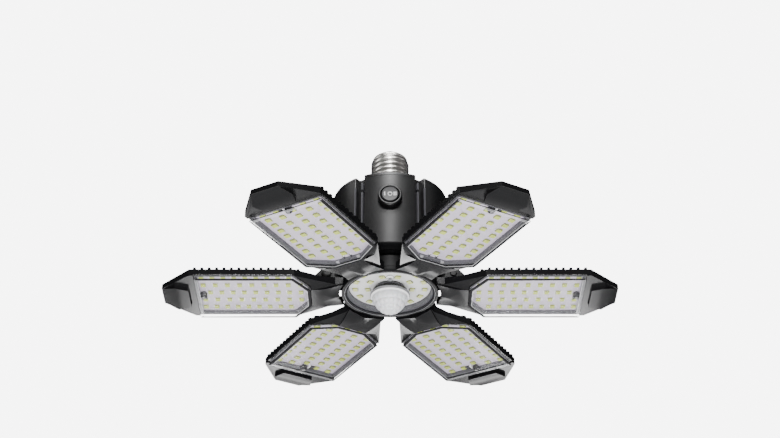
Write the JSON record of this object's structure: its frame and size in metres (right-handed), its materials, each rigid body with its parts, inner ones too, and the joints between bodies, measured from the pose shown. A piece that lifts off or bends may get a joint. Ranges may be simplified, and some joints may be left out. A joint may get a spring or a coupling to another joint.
{
  "type": "folding sensor ceiling lamp",
  "caption": "Screw-in ceiling lamp with hinged flat LED leaves round a hub, a motion-sensor dome below and a driver housing with a rocker switch above.",
  "frame": {"origin": "on the lamp's axis, at the flat top of the centre contact, where it bears on the socket", "axes": "+Z along the screw base, towards the socket (up on a ceiling); -Y towards the switch; +X along leaf 1"},
  "size_m": [0.3006, 0.27, 0.1261],
  "materials": {
    "black_casting": "black satin paint on cast aluminium",
    "black_plastic": "moulded, fine satin grain",
    "dark_plastic": "moulded, dark grey satin",
    "clear_lens": "clear moulded polycarbonate",
    "white_board": "solder mask, pale lavender white",
    "circuit_board": "green solder mask",
    "silver_plastic": "silver-grey",
    "white_dome": "translucent white polyethylene",
    "nickel": "bright nickel plate",
    "steel": "zinc plated",
    "black_glass": "opaque black glass",
    "solder": "soft solder",
    "coil_tape": "yellow coil tape"
  },
  "bodies": {
    "lamp_body": {"hub_frame": "black_casting", "face_ring": "dark_plastic", "hub_lens": "clear_lens", "hub_led_board": "white_board", "sensor_holder": "black_plastic", "sensor_collar": "silver_plastic", "sensor_dome": "white_dome", "pir_detector": "nickel", "pir_board": "circuit_board", "light_sensor": "clear_lens", "driver_housing": "black_plastic", "top_cap": "black_plastic", "switch_bezel": "black_plastic", "switch_body": "black_plastic", "driver_board": "circuit_board", "driver_transformer": "coil_tape", "driver_capacitor": "black_plastic", "screw_shell": "nickel", "base_insulator": "black_glass", "contact_tip": "solder", "hub_screw_1": "steel", "hub_screw_2": "steel", "hub_screw_3": "steel"},
    "leaf_1": {"leaf_casting_1": "black_casting", "led_board_1": "white_board", "leaf_lens_1": "clear_lens", "lens_screw_1": "steel", "hinge_pin_1": "steel"},
    "leaf_2": {"leaf_casting_2": "black_casting", "led_board_2": "white_board", "leaf_lens_2": "clear_lens", "lens_screw_2": "steel", "hinge_pin_2": "steel"},
    "leaf_3": {"leaf_casting_3": "black_casting", "led_board_3": "white_board", "leaf_lens_3": "clear_lens", "lens_screw_3": "steel", "hinge_pin_3": "steel"},
    "leaf_4": {"leaf_casting_4": "black_casting", "led_board_4": "white_board", "leaf_lens_4": "clear_lens", "lens_screw_4": "steel", "hinge_pin_4": "steel"},
    "leaf_5": {"leaf_casting_5": "black_casting", "led_board_5": "white_board", "leaf_lens_5": "clear_lens", "lens_screw_5": "steel", "hinge_pin_5": "steel"},
    "leaf_6": {"leaf_casting_6": "black_casting", "led_board_6": "white_board", "leaf_lens_6": "clear_lens", "lens_screw_6": "steel", "hinge_pin_6": "steel"},
    "rocker": {"switch_rocker": "dark_plastic"}
  },
  "joints": [
    {"name": "leaf_1_fold", "type": "hinge", "parent": "lamp_body", "child": "leaf_1", "pos_m": [0.042, 0, -0.101], "axis": [0, -1, 0], "range_deg": [0, 90]},
    {"name": "leaf_2_fold", "type": "hinge", "parent": "lamp_body", "child": "leaf_2", "pos_m": [0.021, 0.03637, -0.101], "axis": [0.866, -0.5, 0], "range_deg": [0, 90]},
    {"name": "leaf_3_fold", "type": "hinge", "parent": "lamp_body", "child": "leaf_3", "pos_m": [-0.021, 0.03637, -0.101], "axis": [0.866, 0.5, 0], "range_deg": [0, 90]},
    {"name": "leaf_4_fold", "type": "hinge", "parent": "lamp_body", "child": "leaf_4", "pos_m": [-0.042, 0, -0.101], "axis": [0, 1, 0], "range_deg": [0, 90]},
    {"name": "leaf_5_fold", "type": "hinge", "parent": "lamp_body", "child": "leaf_5", "pos_m": [-0.021, -0.03637, -0.101], "axis": [-0.866, 0.5, 0], "range_deg": [0, 90]},
    {"name": "leaf_6_fold", "type": "hinge", "parent": "lamp_body", "child": "leaf_6", "pos_m": [0.021, -0.03637, -0.101], "axis": [-0.866, -0.5, 0], "range_deg": [0, 90]},
    {"name": "switch_rock", "type": "hinge", "parent": "lamp_body", "child": "rocker", "pos_m": [0, -0.0416, -0.06], "axis": [0, 0, 1], "range_deg": [-9, 9]}
  ]
}
